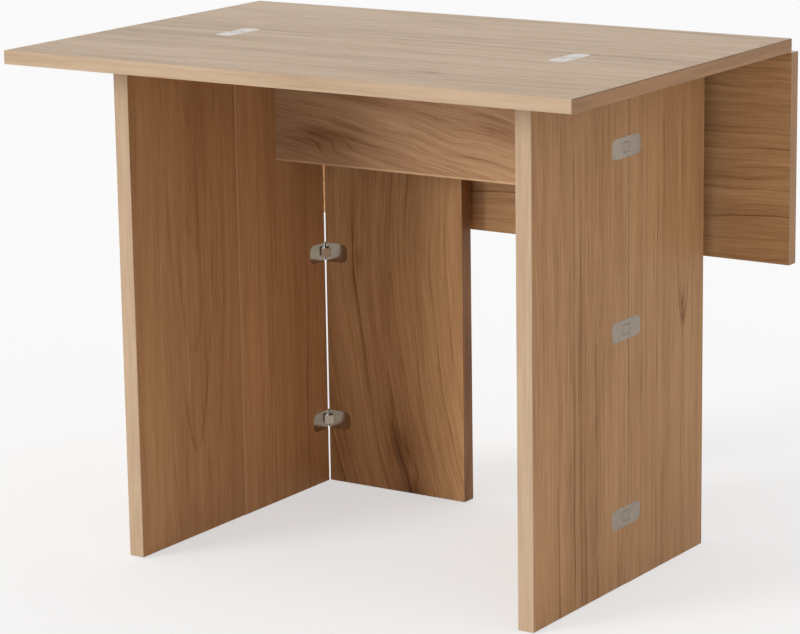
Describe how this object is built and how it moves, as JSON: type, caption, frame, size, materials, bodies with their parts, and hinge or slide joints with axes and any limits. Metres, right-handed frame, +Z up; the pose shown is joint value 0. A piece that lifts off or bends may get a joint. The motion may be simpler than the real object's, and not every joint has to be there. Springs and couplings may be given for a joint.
{
  "type": "butterfly folding table",
  "caption": "Wooden butterfly folding table: a hinged three-leaf top on side panels with swinging gates, joined by flush link hinges, shown with one leaf hanging.",
  "frame": {"origin": "on the floor, under the middle of the table as it stands with its front leaf out and its rear leaf hanging", "axes": "+X along the table's length, +Y to its back, where the rear leaf hangs, +Z up"},
  "size_m": [0.9, 0.6176, 0.73],
  "materials": {
    "top_wood": "matt lacquered veneer",
    "side_wood": "matt lacquered veneer",
    "dowel_wood": "bare beech",
    "hinge_plate": "polished nickel",
    "hinge_link": "polished nickel",
    "hinge_steel": "bright steel"
  },
  "bodies": {
    "root": {"centre_top": "top_wood", "left_side_panel": "side_wood", "right_side_panel": "side_wood", "apron": "side_wood", "top_dowels": "dowel_wood", "apron_dowels": "dowel_wood", "front_leaf_fixed_wings": "hinge_plate", "rear_leaf_fixed_wings": "hinge_plate", "left_front_gate_fixed_wings": "hinge_plate", "right_front_gate_fixed_wings": "hinge_plate", "left_rear_gate_fixed_wings": "hinge_plate", "right_rear_gate_fixed_wings": "hinge_plate", "fixed_pins": "hinge_steel"},
    "front_leaf_link_set": {"front_leaf_links": "hinge_link"},
    "front_leaf": {"front_leaf": "top_wood", "front_leaf_moving_wings": "hinge_plate", "front_leaf_moving_pins": "hinge_steel"},
    "rear_leaf_link_set": {"rear_leaf_links": "hinge_link"},
    "rear_leaf": {"rear_leaf": "top_wood", "rear_leaf_moving_wings": "hinge_plate", "rear_leaf_moving_pins": "hinge_steel"},
    "left_front_gate_link_set": {"left_front_gate_links": "hinge_link"},
    "left_front_gate": {"left_front_gate": "side_wood", "left_front_gate_moving_wings": "hinge_plate", "left_front_gate_moving_pins": "hinge_steel"},
    "right_front_gate_link_set": {"right_front_gate_links": "hinge_link"},
    "right_front_gate": {"right_front_gate": "side_wood", "right_front_gate_moving_wings": "hinge_plate", "right_front_gate_moving_pins": "hinge_steel"},
    "left_rear_gate_link_set": {"left_rear_gate_links": "hinge_link"},
    "left_rear_gate": {"left_rear_gate": "side_wood", "left_rear_gate_moving_wings": "hinge_plate", "left_rear_gate_moving_pins": "hinge_steel"},
    "right_rear_gate_link_set": {"right_rear_gate_links": "hinge_link"},
    "right_rear_gate": {"right_rear_gate": "side_wood", "right_rear_gate_moving_wings": "hinge_plate", "right_rear_gate_moving_pins": "hinge_steel"}
  },
  "joints": [
    {"name": "front_leaf_link_swing", "type": "hinge", "parent": "root", "child": "front_leaf_link_set", "pos_m": [0, -0.00308, 0.728], "axis": [-1, 0, 0], "range_deg": [0, 88]},
    {"name": "front_leaf_fold", "type": "hinge", "parent": "front_leaf_link_set", "child": "front_leaf", "pos_m": [0, -0.01707, 0.728], "axis": [-1, 0, 0], "range_deg": [0, 88]},
    {"name": "rear_leaf_link_swing", "type": "hinge", "parent": "root", "child": "rear_leaf_link_set", "pos_m": [0, 0.28192, 0.713], "axis": [1, 0, 0], "range_deg": [0, 45]},
    {"name": "rear_leaf_fold", "type": "hinge", "parent": "rear_leaf_link_set", "child": "rear_leaf", "pos_m": [0, 0.29183, 0.7031], "axis": [1, 0, 0], "range_deg": [0, 45]},
    {"name": "left_front_gate_link_swing", "type": "hinge", "parent": "root", "child": "left_front_gate_link_set", "pos_m": [-0.3336, 0.03793, 0], "axis": [0, 0, -1], "range_deg": [0, 90]},
    {"name": "left_front_gate_fold", "type": "hinge", "parent": "left_front_gate_link_set", "child": "left_front_gate", "pos_m": [-0.3336, 0.02392, 0], "axis": [0, 0, -1], "range_deg": [0, 90]},
    {"name": "right_front_gate_link_swing", "type": "hinge", "parent": "root", "child": "right_front_gate_link_set", "pos_m": [0.3336, 0.03793, 0], "axis": [0, 0, 1], "range_deg": [0, 90]},
    {"name": "right_front_gate_fold", "type": "hinge", "parent": "right_front_gate_link_set", "child": "right_front_gate", "pos_m": [0.3336, 0.02392, 0], "axis": [0, 0, 1], "range_deg": [0, 90]},
    {"name": "left_rear_gate_link_swing", "type": "hinge", "parent": "root", "child": "left_rear_gate_link_set", "pos_m": [-0.3136, 0.24443, 0], "axis": [0, 0, -1], "range_deg": [0, 12]},
    {"name": "left_rear_gate_fold", "type": "hinge", "parent": "left_rear_gate_link_set", "child": "left_rear_gate", "pos_m": [-0.3037, 0.25433, 0], "axis": [0, 0, -1], "range_deg": [0, 12]},
    {"name": "right_rear_gate_link_swing", "type": "hinge", "parent": "root", "child": "right_rear_gate_link_set", "pos_m": [0.3136, 0.24443, 0], "axis": [0, 0, 1], "range_deg": [0, 12]},
    {"name": "right_rear_gate_fold", "type": "hinge", "parent": "right_rear_gate_link_set", "child": "right_rear_gate", "pos_m": [0.3037, 0.25433, 0], "axis": [0, 0, 1], "range_deg": [0, 12]}
  ],
  "couplings": [
    {"joint": "front_leaf_link_swing", "follows": "front_leaf_fold", "ratio": 1},
    {"joint": "rear_leaf_link_swing", "follows": "rear_leaf_fold", "ratio": 1},
    {"joint": "left_front_gate_link_swing", "follows": "left_front_gate_fold", "ratio": 1},
    {"joint": "right_front_gate_link_swing", "follows": "right_front_gate_fold", "ratio": 1},
    {"joint": "left_rear_gate_link_swing", "follows": "left_rear_gate_fold", "ratio": 1},
    {"joint": "right_rear_gate_link_swing", "follows": "right_rear_gate_fold", "ratio": 1}
  ]
}
